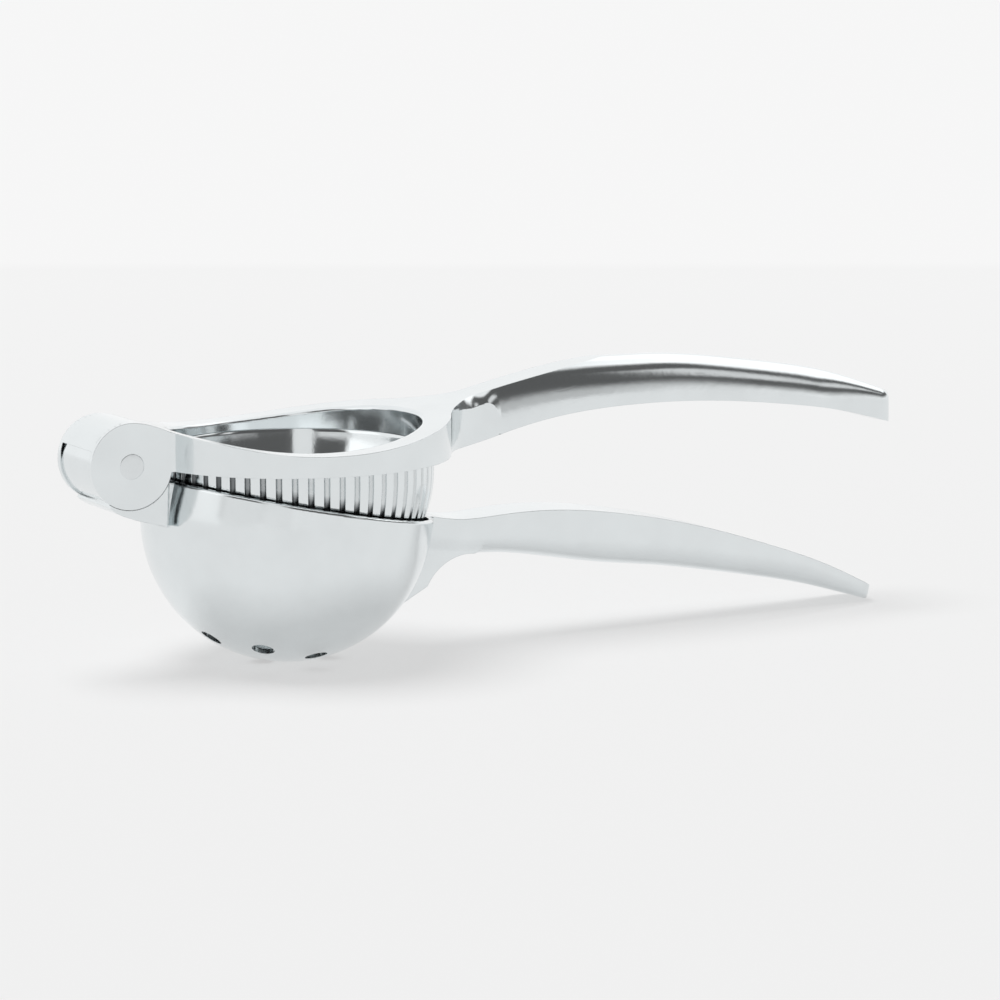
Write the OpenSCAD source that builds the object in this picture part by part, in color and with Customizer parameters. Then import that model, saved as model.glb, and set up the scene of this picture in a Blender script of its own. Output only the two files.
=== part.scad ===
// Hinged lemon squeezer.
// Two cast levers share one hinge pin. The lower lever carries a round bowl with drain
// holes. The upper lever carries a ring, and a fluted press cup is seated in the ring.
// The model stands as it does on a table: on the bottom of the bowl and on the tip of
// the lower handle. +X runs from the hinge to the handle tips, +Z is up.
// Each lever is drawn flat, with the hinge axis as its origin, and is then turned.

/* [Bowl] */
// Outside diameter of the bowl
bowl_d = 70; // [62:1:84]
// Wall of the bowl
bowl_wall = 1.6; // [1.2:0.1:2.4]
// Straight collar between the round of the bowl and its rim
bowl_collar = 5; // [3:0.5:8]
// Distance from the hinge axis to the middle of the bowl and of the ring
bowl_reach = 46.5; // [44.5:0.5:52]
// Depth of the closing plane, where ring and rim meet, below the hinge axis
seam_drop = 2.1; // [1.5:0.1:3]
// Gap left between the two levers when they are closed
closed_gap = 0.3; // [0.2:0.05:0.6]

/* [Drain holes] */
// Diameter of each drain hole
drain_d = 5.4; // [3:0.2:6]
// Number of drain holes in the circle
drain_count = 7; // [5:1:9]
// Angle from the bottom of the bowl to the circle of drain holes
drain_angle = 27.5; // [22:0.5:34]

/* [Hinge] */
// Outside diameter of the hinge barrel
barrel_d = 20.3; // [18:0.1:22]
// Width of the hinge barrel
barrel_w = 20.4; // [16:0.2:26]
// Thickness of each of the two hinge ears
ear_t = 2.9; // [2:0.1:4]
// Thickness of the cover that joins the ears over the knuckle
cover_t = 1; // [0.8:0.1:1.4]
// Running gap between the knuckle and the cover, and between the ears and their saddle
hinge_gap = 0.3; // [0.2:0.05:0.5]
// Diameter of the hinge pin
pin_d = 6; // [4:0.1:8]
// Difference between the radius of the knuckle bore and of the pin
pin_fit = 0.05; // [0.02:0.01:0.1]
// Thickness of the friction washer beside each end of the knuckle
washer_t = 0.5; // [0.3:0.1:1]
// Outside diameter of the friction washers
washer_d = 15; // [12:0.5:16]

/* [Ring] */
// How far the ring stands out beyond the bowl, all round
ring_overhang = 2.4; // [1:0.2:4]
// Height of the ring at its lowest, in the middle of the dip in its top face
ring_height = 4.9; // [4:0.1:8]

/* [Press cup] */
// Clearance all round between the closed press cup and the bowl
cup_gap = 0.5; // [0.4:0.1:1.5]
// Depth of the middle of the round of the cup below the hinge axis
cup_drop = 3; // [2.5:0.5:5]
// Wall of the press cup, flutes included
cup_wall = 2.6; // [2.2:0.1:4.5]
// Height of the spigot of the cup that is seated in the ring
spigot_h = 2.4; // [1:0.1:3]
// Number of flutes round the press cup
flute_count = 56; // [36:4:60]
// Depth of each flute
flute_depth = 0.8; // [0.4:0.1:1.2]
// Angle below the edge of the cup at which the flutes run out
flute_end = 56; // [40:1:60]

/* [Handles] */
// Length of the handles, from the edge of the ring to the tip
handle_len = 133; // [100:1:160]
// Width of the handles at the grip
handle_w = 14.4; // [12:0.2:20]
// Width of the handles where they leave the ring and the bowl
neck_w = 12; // [10:0.2:14]
// Width of the handles at the tip
tip_w = 12.4; // [10:0.2:16]
// Thickness of the upper handle at the neck
upper_neck_t = 10.5; // [9:0.1:14]
// Thickness of the upper handle at the grip
upper_grip_t = 12; // [9:0.1:15]
// Thickness of the upper handle at the tip
upper_tip_t = 8; // [5:0.1:9]
// Thickness of the lower handle at the neck
lower_neck_t = 9.4; // [8:0.1:12]
// Thickness of the lower handle at the grip
lower_grip_t = 13.4; // [10:0.1:16]
// Thickness of the lower handle at the tip
lower_tip_t = 3.6; // [3:0.1:7]
// How far the handles rise above the closing plane at the grip
handle_rise = 7.5; // [4:0.5:12]
// How far the handle tips hang below the closing plane
tip_fall = 2.6; // [0:0.2:6]
// Width of the flat on top of the neck of the upper handle
facet_w = 9; // [6:0.5:10]
// Radius of the fillets between the ring and the neck of the upper handle, seen from above
neck_fillet = 11; // [7:1:14]
// Radius of the two corners of each handle tip, seen from above
tip_round = 4; // [2:0.5:5]
// Fullness of the rounded side of the handles: 2 is an ellipse, more is squarer
handle_full = 2.6; // [2:0.1:4]

/* [Hidden] */
$fn = 96;

// Sizes that follow from the driving dimensions
bowl_r = bowl_d / 2;
bowl_in_r = bowl_r - bowl_wall;
rim_z = -seam_drop - closed_gap / 2;
ring_z = -seam_drop + closed_gap / 2;
bowl_z = rim_z - bowl_collar;
barrel_r = barrel_d / 2;
half_w = barrel_w / 2;
cover_in_r = barrel_r - cover_t;
knuckle_r = cover_in_r - hinge_gap;
saddle_r = barrel_r + hinge_gap;
washer_gap = 0.05;
drain_turn = -117;
knuckle_half = half_w - ear_t - washer_t - 2 * washer_gap;
slot_half = half_w - ear_t;
pin_r = pin_d / 2;
ring_r = bowl_r + ring_overhang;
cup_r = bowl_in_r - cup_gap;
ring_in_r = cup_r - cup_wall;
spigot_r = (cup_r + ring_in_r) / 2;
neck_x = bowl_reach + ring_r;
tip_x = neck_x + handle_len;

// Angles round the hinge axis, from +X towards +Z, in the frame of each lever
cover_end = 157;
web_end = 348;

// Block of the lower lever below the hinge ears
block_r = saddle_r + 0.15;
block_middle = [0.227 * barrel_r, -0.134 * barrel_r];
lip_end = 252;
low_angle = 261.5;
block_x = barrel_r + 1;
heel_run = 4.1;
heel_slope = 4.4;
block_edge_drop = 1.4;
web_half = half_w - 1.6;
web_end_x = bowl_reach - bowl_r + bowl_wall + 3;
ring_root_x = bowl_reach - ring_r + 6;

// Stations along both handles, as shares of the handle's length from the ring to the tip
stations = [0, 0.045, 0.14, 0.25, 0.38, 0.5, 0.62, 0.74, 0.86, 1];
last = len(stations) - 1;
seam_share = [0, 0.03, 0.41, 0.8, 0.98, 0.98, 0.85, 0.61, 0.28];
seam_rise = [for (i = [0 : last]) i == last ? -tip_fall : seam_share[i] * handle_rise];
upper_share = [0, 0.5, 0.7, 0.75, 1, 0.9, 0.71, 0.58, 0.42, 0];
lower_share = [0, 0, 0.25, 0.76, 1, 0.89, 0.74, 0.54, 0.32, 0];
facet_share = [1, 1, 1, 0.95, 0.45, 0, 0, 0, 0, 0];
least_flat = 0.08;
upper_t = along(upper_share, upper_neck_t, upper_grip_t, upper_tip_t);
lower_t = along(lower_share, lower_neck_t, lower_grip_t, lower_tip_t);
half_widths = along(lower_share, neck_w / 2, handle_w / 2, tip_w / 2);

// A size at every station, blended from the neck to the grip and from the grip to the tip
function along(shares, neck, grip, tip) =
    [for (i = [0 : last]) let (end = stations[i] < 0.45 ? neck : tip) end + (grip - end) * shares[i]];

// Smooth curve through the values v at the places u, by cubic Hermite pieces
function slope_at(u, v, i) =
    i == 0 ? (v[1] - v[0]) / (u[1] - u[0])
    : i == len(u) - 1 ? (v[i] - v[i - 1]) / (u[i] - u[i - 1])
    : (v[i + 1] - v[i - 1]) / (u[i + 1] - u[i - 1]);
function piece_of(u, t, i = 0) = (i >= len(u) - 2 || t < u[i + 1]) ? i : piece_of(u, t, i + 1);
function smooth(u, v, t) =
    let (
        i = piece_of(u, t),
        h = u[i + 1] - u[i],
        s = (t - u[i]) / h,
        a = slope_at(u, v, i) * h,
        b = slope_at(u, v, i + 1) * h
    )
    v[i] * (1 + 2 * s) * (1 - s) * (1 - s) + a * s * (1 - s) * (1 - s)
    + v[i + 1] * s * s * (3 - 2 * s) - b * s * s * (1 - s);

// Height of the seam between the handles at the share t of their length
function seam_at(t) = -seam_drop + (t < 0 ? 0 : smooth(stations, seam_rise, t));

// Top of the upper lever from the barrel to the neck, dipping over the ring
dip_x = bowl_reach - 8;
dip_z = ring_z + ring_height;
neck_z = ring_z + upper_neck_t;
top_x = [0, 3.6, 7.3, block_x, dip_x * 0.4, dip_x * 0.55, dip_x * 0.77, dip_x, bowl_reach + 6.5,
    bowl_reach + 21.5, neck_x, neck_x + 8];
top_z = [barrel_r, barrel_r - 0.5, barrel_r - 1.7, barrel_r - 3.2, dip_z + 2.95, dip_z + 1.65, dip_z + 0.4,
    dip_z, dip_z + 0.7, dip_z + 2.8, neck_z, neck_z + 1.6];
function top_at(x) = smooth(top_x, top_z, x);
line_step = 1.5;
top_line = [for (x = [0 : line_step : neck_x + 1]) [x, top_at(x)]];

// The lower lever is turned until bowl and tip touch the same level surface
tip_corner = [tip_x, seam_at(1) - closed_gap / 2 - lower_tip_t];
bowl_to_tip = tip_corner - [bowl_reach, bowl_z];
rest_tilt = asin(bowl_r / norm(bowl_to_tip)) + atan2(bowl_to_tip[1], bowl_to_tip[0]);
hinge_z = bowl_r + bowl_reach * sin(rest_tilt) - bowl_z * cos(rest_tilt);
origin_x = (tip_x - barrel_r) / 2;

big = 4 * tip_x;

module lower_frame() {
    translate([-origin_x, 0, hinge_z]) rotate([0, rest_tilt, 0]) children();
}

module upper_frame() {
    translate([-origin_x, 0, hinge_z]) children();
}

// A plate of the given half width, drawn in X and Z and centred on Y = 0
module plate(half) {
    rotate([90, 0, 0]) linear_extrude(2 * half, center = true) children();
}

// A cylinder along the hinge axis
module barrel(r, half) {
    rotate([90, 0, 0]) cylinder(r = r, h = 2 * half, center = true);
}

// Points on an arc round the hinge axis
function arc(r, from, to, steps) =
    [for (i = [0 : steps]) let (a = from + (to - from) * i / steps) [r * cos(a), r * sin(a)]];

// Places of the handle's sections, closer together round the corners of the tip
function section_places(root) =
    let (straight = 36, corner = 7, bend = 1 - tip_round / handle_len)
    concat(
        [for (i = [0 : straight]) root + (bend - root) * i / straight],
        [for (i = [1 : corner]) bend + (1 - bend) * sin(90 * i / corner)]
    );

// How much the corners of the tip take off the half width at the share t of the length
function tip_cut(t) =
    let (u = max(0, 1 - (1 - t) * handle_len / tip_round)) tip_round * (1 - sqrt(max(0, 1 - u * u)));

// One section: a flat on the seam, then a full curve beyond it, whose top the facet cuts flat
function section(side, thick, facets, t) =
    let (
        arc_steps = 9,
        s = max(t, 0),
        x = neck_x + t * handle_len,
        w = smooth(stations, half_widths, s) - tip_cut(t),
        h = side > 0 && t < 0 ? top_at(x) - ring_z : smooth(stations, thick, s),
        f = max(smooth(stations, facets, s), least_flat) * facet_w / 2,
        turn = acos(pow(f / w, handle_full / 2)),
        full = h / pow(sin(turn), 2 / handle_full),
        z0 = seam_at(t) + side * closed_gap / 2,
        right = [for (k = [0 : arc_steps])
            let (a = turn * k / arc_steps)
            [w * pow(cos(a), 2 / handle_full), full * pow(sin(a), 2 / handle_full)]],
        left = [for (k = [arc_steps : -1 : 0]) [-right[k][0], right[k][1]]]
    )
    [for (p = concat(right, left)) [x, p[0], z0 + side * p[1]]];

// A handle swept along the seam. side is 1 for the upper handle and -1 for the lower one
module handle(side, thick, facets, start) {
    sections = [for (t = section_places(start / handle_len)) section(side, thick, facets, t)];
    count = len(sections[0]);
    ends = len(sections) - 1;
    faces = concat(
        [for (i = [0 : ends - 1], k = [0 : count - 1])
            let (n = (k + 1) % count)
            [i * count + k, i * count + n, (i + 1) * count + n, (i + 1) * count + k]],
        [[for (k = [count - 1 : -1 : 0]) k]],
        [[for (k = [0 : count - 1]) ends * count + k]]
    );
    outward = side < 0 ? faces : [for (face = faces) [for (k = [len(face) - 1 : -1 : 0]) face[k]]];
    polyhedron(points = [for (s = sections) each s], faces = outward, convexity = 6);
}

// The outside of a round shell: a half sphere with a straight collar on top
module round_shell(r, z, top) {
    translate([bowl_reach, 0, z]) {
        intersection() {
            sphere(r);
            translate([0, 0, -r]) cylinder(r = 2 * r, h = r);
        }
        cylinder(r = r, h = top - z);
    }
}

module drain_holes() {
    start = bowl_in_r - 5;
    translate([bowl_reach, 0, bowl_z]) {
        rotate([180, 0, 0]) translate([0, 0, start]) cylinder(d = drain_d, h = bowl_wall + 10);
        for (i = [0 : drain_count - 1])
            rotate([0, 0, drain_turn + i * 360 / drain_count])
                rotate([0, 180 - drain_angle, 0])
                    translate([0, 0, start]) cylinder(d = drain_d, h = bowl_wall + 10);
    }
}

// Web below the lower handle that runs down the side of the bowl in a hollow curve
module gusset() {
    hollow_r = 12;
    hollow = [neck_x + 13.5, seam_at(0) - lower_neck_t - hollow_r + 1.6];
    foot_z = bowl_z - bowl_r * 0.62;
    foot_x = bowl_reach + sqrt(pow(bowl_r, 2) - pow(foot_z - bowl_z, 2));
    waist = [hollow[0] - hollow_r - 0.4, hollow[1] + 2];
    plate(neck_w * 0.36) difference() {
        polygon([[foot_x - 2, foot_z], [foot_x, foot_z], waist, [hollow[0], waist[1]],
            [hollow[0], rim_z - lower_neck_t / 2], [foot_x - 2, rim_z - lower_neck_t / 2]]);
        translate(hollow) circle(r = hollow_r);
    }
}

// Side view of the block that cradles the hinge ears
module block_outline() {
    heel_x = block_middle[0] + block_r * cos(low_angle) + heel_run;
    heel_z = block_middle[1] + block_r * sin(low_angle) - heel_run / tan(low_angle - 180);
    edge_x = sqrt(pow(saddle_r, 2) - pow(rim_z - block_edge_drop, 2));
    polygon(concat(
        [[0, 0]],
        [for (p = arc(block_r, lip_end, low_angle, 4)) p + block_middle],
        [[heel_x, heel_z], [block_x, heel_z - (block_x - heel_x) * tan(heel_slope)],
            [edge_x, rim_z - block_edge_drop]]
    ));
}

module lower_lever() {
    color("gainsboro") lower_frame() difference() {
        union() {
            round_shell(bowl_r, bowl_z, rim_z);
            handle(-1, lower_t, [for (t = stations) 0], -6);
            gusset();
            barrel(knuckle_r, knuckle_half);
            difference() {
                plate(half_w) block_outline();
                barrel(saddle_r, 2 * half_w);
            }
            plate(knuckle_half) block_outline();
            plate(web_half) difference() {
                polygon([[block_x - 2.5, rim_z], [web_end_x, rim_z], [web_end_x, -block_r - 2],
                    [block_x - 2.5, -block_r - 1.6]]);
                circle(r = saddle_r);
            }
            plate(knuckle_half) polygon([[0, rim_z], [web_end_x, rim_z], [web_end_x, -block_r - 1],
                [0, -knuckle_r]]);
        }
        round_shell(bowl_in_r, bowl_z, big);
        barrel(pin_r + pin_fit, barrel_w);
        drain_holes();
    }
}

// Slot in the upper lever that lets the knuckle in and lets it turn
module knuckle_slot() {
    barrel(cover_in_r, slot_half);
    plate(slot_half) polygon(concat([[0, 0]], arc(2 * barrel_r, cover_end, web_end, 12)));
}

// Fillets that widen the neck of the upper lever until it meets the ring
module neck_fillets() {
    side = facet_w / 2 + neck_fillet;
    reach = sqrt(pow(ring_r + neck_fillet, 2) - pow(side, 2));
    touch = ring_r / (ring_r + neck_fillet) * [reach, side];
    places = [neck_x - 12 : line_step : bowl_reach + reach + line_step];
    top = [for (x = places) [x, top_at(x) - 0.05]];
    bottom = [for (x = places) [x, seam_at((x - neck_x) / handle_len) + closed_gap / 2]];
    intersection() {
        plate(side) polygon(concat(top, [for (i = [len(bottom) - 1 : -1 : 0]) bottom[i]]));
        translate([bowl_reach, 0, -big / 2]) linear_extrude(big) difference() {
            polygon([[touch[0], -touch[1]], [reach, -facet_w / 2], [reach, facet_w / 2], touch]);
            for (y = [-side, side]) translate([reach, y]) circle(r = neck_fillet);
        }
    }
}

module upper_lever() {
    color("whitesmoke") upper_frame() difference() {
        union() {
            barrel(barrel_r, half_w);
            plate(half_w) polygon(concat([[0, ring_z]], [for (p = top_line) if (p[0] < ring_root_x) p],
                [[ring_root_x, ring_z]]));
            intersection() {
                plate(ring_r) polygon(concat([[0, ring_z]], top_line, [[neck_x + 1, ring_z]]));
                translate([bowl_reach, 0, -big / 2]) cylinder(r = ring_r, h = big);
            }
            handle(1, upper_t, facet_share, -4);
            neck_fillets();
        }
        knuckle_slot();
        translate([bowl_reach, 0, -big / 2]) cylinder(r = ring_in_r, h = big);
        translate([bowl_reach, 0, ring_z - 1]) cylinder(r = spigot_r, h = spigot_h + 1);
        barrel(pin_r, barrel_w);
    }
}

// Grooves that run down the round of the cup from just above the underside of the ring
module flutes() {
    flute_start = asin((cup_drop + ring_z) / cup_r) + 1.5;
    translate([bowl_reach, 0, -cup_drop])
        for (i = [0 : flute_count - 1])
            rotate([90, 0, (i + 0.5) * 360 / flute_count]) rotate([0, 0, -flute_end])
                rotate_extrude(angle = flute_end + flute_start)
                    translate([cup_r, 0]) circle(r = flute_depth, $fn = 24);
}

module press_cup() {
    color("silver") upper_frame() difference() {
        union() {
            round_shell(cup_r, -cup_drop, ring_z);
            translate([bowl_reach, 0, ring_z - 1]) cylinder(r = spigot_r, h = spigot_h + 1);
        }
        round_shell(ring_in_r, -cup_drop, big);
        flutes();
    }
}

module hinge_pin() {
    color("darkgray") upper_frame() barrel(pin_r, half_w);
}

// side is -1 for the washer on the near side and 1 for the one on the far side
module washer(side) {
    middle = side * (knuckle_half + washer_gap + washer_t / 2);
    upper_frame() translate([0, middle, 0]) difference() {
        barrel(washer_d / 2, washer_t / 2);
        barrel(pin_r + pin_fit, washer_t);
    }
}

module washer_near() {
    color("dimgray") washer(-1);
}

module washer_far() {
    color("dimgray") washer(1);
}

lower_lever();
upper_lever();
press_cup();
hinge_pin();
washer_near();
washer_far();
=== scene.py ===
"""Hinged lemon squeezer of polished cast aluminium, standing on a pale table.

Sizes of the pieces are in millimetres from the hinge axis: x runs towards the handle tips,
y along the hinge pin to the far side and z up. They become metres in the row's frame only
when a mesh is made.
"""

import math

import bpy
import numpy as np
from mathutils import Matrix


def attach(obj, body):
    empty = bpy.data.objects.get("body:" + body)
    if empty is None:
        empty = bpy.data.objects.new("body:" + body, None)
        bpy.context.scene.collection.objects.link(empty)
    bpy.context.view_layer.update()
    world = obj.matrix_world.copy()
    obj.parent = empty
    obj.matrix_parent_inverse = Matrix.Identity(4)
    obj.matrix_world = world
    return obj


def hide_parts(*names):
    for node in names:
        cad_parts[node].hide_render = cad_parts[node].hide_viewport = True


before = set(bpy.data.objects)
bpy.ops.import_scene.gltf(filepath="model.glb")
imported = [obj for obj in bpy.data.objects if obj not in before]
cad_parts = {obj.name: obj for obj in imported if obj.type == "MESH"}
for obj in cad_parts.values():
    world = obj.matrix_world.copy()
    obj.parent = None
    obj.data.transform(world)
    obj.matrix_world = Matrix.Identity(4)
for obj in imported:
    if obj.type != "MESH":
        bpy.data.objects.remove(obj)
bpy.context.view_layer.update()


# ---------------------------------------------------------------------------------------
# Table, studio, lamps and camera. The squeezer stands on a matt white table that runs far
# back. A grey wall with bright windows stands behind the camera, and the polished metal
# shows it, while the camera itself sees only white.
# ---------------------------------------------------------------------------------------
TABLE_NEAR = (0.876, 0.876, 0.876, 1)
TABLE_MIDDLE = (0.901, 0.901, 0.901, 1)
TABLE_FAR = (0.926, 0.926, 0.926, 1)
TABLE_GLOW = 0.58
TABLE_HALF = 20.0
TABLE_ROUGHNESS = 0.9
# The tone goes by the metres along TABLE_AWAY. Its rise and its step are each a factor and an offset.
TABLE_AWAY = (0.482, 0.876)
TABLE_RISE = (0.9, 0.2)
TABLE_STEP = (22.0, -21.7)
CAMERA_PLACE = (-0.41516, -0.74930, 0.17064)
CAMERA_TARGET = (-0.000835, 0.0, 0.03426)
CAMERA_LENS = 126
CAMERA_SENSOR = 36
BACKDROP_LEVEL = 0.922
STUDIO_LEVEL = 1.0
TABLE_SHARE = 0.40
LAMP_POWER = 1.87
LAMP_ANGLE = 36
LAMP_LEAN = (-9, -9, 0)
# Windows and dark screens of the studio, each laid over those before it: middle bearing and
# half width, low and high elevation and softness in degrees, and level
STUDIO_CARDS = [
    (269, 77, 6, 53, 4, 0.11),
    (208, 16, -20, 13, 2.5, 0.85),
    (236.5, 10.5, -20, 50, 1.5, 0.85),
    (313, 5.5, 19, 34, 2, 0.8),
    (293, 10, -20, 9, 5, 0.55),
    (175, 17, 12, 30, 2, 1.25),
    (357, 14, 6, 24, 4, 0.15),
    (15, 42, 26, 60, 5, 1.3),
]


def node_of(tree, kind, settings=(), **inputs):
    """A new shader node with the given settings, and values or links on its inputs.

    An input goes by its name, or by the letter i and its number.
    """
    node = tree.nodes.new(kind)
    for key, value in dict(settings).items():
        setattr(node, key, value)
    for key, value in inputs.items():
        socket = node.inputs[int(key[1:]) if key[0] == "i" and key[1:].isdigit() else key.replace("_", " ")]
        if isinstance(value, bpy.types.NodeSocket):
            tree.links.new(value, socket)
        else:
            socket.default_value = value
    return node


def sum_of(tree, operation, first, second=0.0, third=0.0, clamp=False):
    """The result of one arithmetic step in a shader tree."""
    settings = {"operation": operation, "use_clamp": clamp}
    return node_of(tree, "ShaderNodeMath", settings, i0=first, i1=second, i2=third).outputs[0]


def mixed_level(tree, share, first, second):
    """The first number, or the second one where the share is 1."""
    return node_of(tree, "ShaderNodeMix", {"data_type": "FLOAT"}, i0=share, i2=first, i3=second).outputs[0]


def mixed_colour(tree, share, first, second):
    """The first colour, or the second one where the share is 1."""
    return node_of(tree, "ShaderNodeMix", {"data_type": "RGBA"}, i0=share, i6=first, i7=second).outputs[2]


corners = [(x * TABLE_HALF, y * TABLE_HALF, 0) for x, y in ((-1, -1), (1, -1), (1, 1), (-1, 1))]
table_mesh = bpy.data.meshes.new("table")
table_mesh.from_pydata(corners, [], [(0, 1, 2, 3)])
table = bpy.data.objects.new("table", table_mesh)
bpy.context.scene.collection.objects.link(table)
table_white = bpy.data.materials.new("table_white")
table_white.use_nodes = True
tree = table_white.node_tree
matt = tree.nodes["Principled BSDF"]
matt.inputs["Roughness"].default_value = TABLE_ROUGHNESS
matt.inputs["Specular IOR Level"].default_value = 0.0
matt.inputs["Emission Strength"].default_value = TABLE_GLOW
apart = node_of(tree, "ShaderNodeSeparateXYZ", i0=node_of(tree, "ShaderNodeTexCoord").outputs["Object"])
# The tone rises slowly away from the camera, and steps up where the backdrop begins. Part of it is glow.
away = sum_of(tree, "MULTIPLY", apart.outputs["Y"], TABLE_AWAY[1])
away = sum_of(tree, "MULTIPLY_ADD", apart.outputs["X"], TABLE_AWAY[0], away)
rise = sum_of(tree, "MULTIPLY_ADD", away, *TABLE_RISE, clamp=True)
step = sum_of(tree, "MULTIPLY_ADD", away, *TABLE_STEP, clamp=True)
tone = mixed_colour(tree, step, mixed_colour(tree, rise, TABLE_NEAR, TABLE_MIDDLE), TABLE_FAR)
tree.links.new(mixed_colour(tree, TABLE_GLOW, tone, (0, 0, 0, 1)), matt.inputs["Base Color"])
tree.links.new(tone, matt.inputs["Emission Color"])
table.data.materials.append(table_white)

world = bpy.data.worlds.new("studio")
bpy.context.scene.world = world
world.use_nodes = True
sky = world.node_tree
way = node_of(sky, "ShaderNodeSeparateXYZ", i0=node_of(sky, "ShaderNodeTexCoord").outputs["Generated"])
bearing = sum_of(sky, "MULTIPLY", sum_of(sky, "ARCTAN2", way.outputs["Y"], way.outputs["X"]), 180 / math.pi)
elevation = sum_of(sky, "MULTIPLY", sum_of(sky, "ARCSINE", way.outputs["Z"]), 180 / math.pi)
level = STUDIO_LEVEL
for middle, half, low, high, soft, card_level in STUDIO_CARDS:
    turn = sum_of(sky, "WRAP", sum_of(sky, "SUBTRACT", bearing, float(middle)), 180.0, -180.0)
    across = sum_of(sky, "SUBTRACT", float(half), sum_of(sky, "ABSOLUTE", turn))
    off = sum_of(sky, "SUBTRACT", elevation, (high + low) / 2)
    up = sum_of(sky, "SUBTRACT", (high - low) / 2, sum_of(sky, "ABSOLUTE", off))
    inner = sum_of(sky, "MINIMUM", across, up)
    share = sum_of(sky, "MULTIPLY_ADD", inner, 0.5 / soft, 0.5, clamp=True)
    level = mixed_level(sky, share, level, card_level)
path = node_of(sky, "ShaderNodeLightPath")
level = mixed_level(sky, path.outputs["Is Diffuse Ray"], level, TABLE_SHARE)
level = mixed_level(sky, path.outputs["Is Camera Ray"], level, BACKDROP_LEVEL)
sky.links.new(level, sky.nodes["Background"].inputs["Strength"])
sky.nodes["Background"].inputs["Color"].default_value = (1, 1, 1, 1)

sun = bpy.data.objects.new("lamp_soft", bpy.data.lights.new("lamp_soft", "SUN"))
sun.data.energy = LAMP_POWER
sun.data.angle = math.radians(LAMP_ANGLE)
sun.rotation_euler = [math.radians(part) for part in LAMP_LEAN]
sun.visible_glossy = False
bpy.context.scene.collection.objects.link(sun)

camera = bpy.data.objects.new("camera", bpy.data.cameras.new("camera"))
camera.data.lens = CAMERA_LENS
camera.data.sensor_width = CAMERA_SENSOR
camera.location = CAMERA_PLACE
sight = np.subtract(CAMERA_TARGET, CAMERA_PLACE)
camera.rotation_euler = (math.acos(-sight[2] / np.linalg.norm(sight)), 0, math.atan2(-sight[0], sight[1]))
bpy.context.scene.collection.objects.link(camera)
bpy.context.scene.camera = camera
bpy.context.scene.view_settings.view_transform = "Standard"


# ---------------------------------------------------------------------------------------
# Lower lever: one casting in aluminium, tumbled and polished. It holds the round bowl, the
# handle with the web below it, the knuckle of the hinge and the block under the hinge ears.
# The hinge pin runs through its knuckle.
# ---------------------------------------------------------------------------------------
HINGE_PLACE = np.array([-103.375, 0.0, 51.336])
REST_TILT = 11.449
CLOSED_GAP = 0.3
SEAM_DROP = 2.1
RIM_Z = -SEAM_DROP - CLOSED_GAP / 2
BOWL_X = 46.5
BOWL_R = 35.0
BOWL_WALL = 1.3
BOWL_Z = RIM_Z - 5.0
BOWL_FILLET = 2.2
BOWL_EDGE = 0.7
BOWL_EDGE_RUN = 6.0
DRAIN_R = 2.7
DRAIN_ANGLE = 27.5
DRAIN_TURN = -117.0
DRAIN_COUNT = 7

# The hinge: the barrel of the ears, the pin, and the knuckle with its wider rim. The rim goes
# all round on the near side, and on the far side it starts at an angle round the axis.
BARREL_R = 10.15
BARREL_HALF = 10.2
PIN_R = 3.0
PIN_PLAY = 0.05
KNUCKLE_R = 9.69
KNUCKLE_HALF = 6.7
KNUCKLE_FULL_HALF = 7.2
WASHER_SEAT_R = 7.7
RIM_HALF = 8.8
RIM_IN_R = 8.65
RIM_START = 170.0
RIM_RUN = 22.0

# The block under the ears and the bridge to the bowl. A slanted plane is four numbers: x and z
# of a place on it, and x and z of its outward normal.
BLOCK_X = 2.3
BLOCK_Z = -1.355
BLOCK_R = 10.6
BLOCK_SLOPE = 8.5
BLOCK_HEEL = (4.83, -12.35, -0.076, -0.997)
BLOCK_LIP = 251.0
BLOCK_EDGE = 0.2
BLOCK_END = (10.3, -3.65, 0.9877, 0.1565)
BLOCK_END_EDGE = 0.5
BLOCK_FILLET = 0.5
HEART_INSET = 0.5
SADDLE_R = BARREL_R + 0.08
BRIDGE_HALF = 7.7
BRIDGE_END = BOWL_X - BOWL_R + 4.0

# The web under the handle
WEB_HALF = 4.4
WEB_START = BOWL_X + 20.0
WEB_END = 98.0
WEB_ROUND = 13.0
WEB_ROUND_Z = -23.0
WEB_EDGE = (73.96, -28.95, 0.634, -0.7735)
WEB_FILLET = 1.0

# The handles. A size is given at the neck, at the grip and at the tip, and a share at each
# station says how far the size has gone there from the neck or the tip to the grip.
NECK_X = 83.9
HANDLE_LEN = 133.0
TIP_X = NECK_X + HANDLE_LEN
TIP_ROUND = 4.0
TIP_HALF_LEAST = 0.2
HANDLE_POWER = 2.6
TIP_POWER_EXTRA = 3.5
TIP_POWER_FROM = 24.0
TIP_POWER_RUN = 21.0
STATIONS = np.array([0, 0.045, 0.14, 0.25, 0.38, 0.5, 0.62, 0.74, 0.86, 1.0])
GRIP_STATION = 0.45
SEAM_HIGH = 7.5
SEAM_TIP_FALL = 2.6
SEAM_RISE = np.array([0, 0.03, 0.41, 0.8, 0.98, 0.98, 0.85, 0.61, 0.28, 0]) * SEAM_HIGH
SEAM_RISE[-1] = -SEAM_TIP_FALL
LOWER_SHARE = np.array([0, 0, 0.25, 0.76, 1, 0.89, 0.74, 0.54, 0.32, 0])
LOWER_THICK = (9.4, 13.4, 3.6)
LOWER_WIDE = (6.0, 7.2, 6.2)
LOWER_ROOT = 6.0


def blended(shares, neck, grip, tip):
    """A size at every station: from the neck to the grip, and from the grip to the tip."""
    ends = np.where(STATIONS < GRIP_STATION, neck, tip)
    return ends + (grip - ends) * shares


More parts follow.
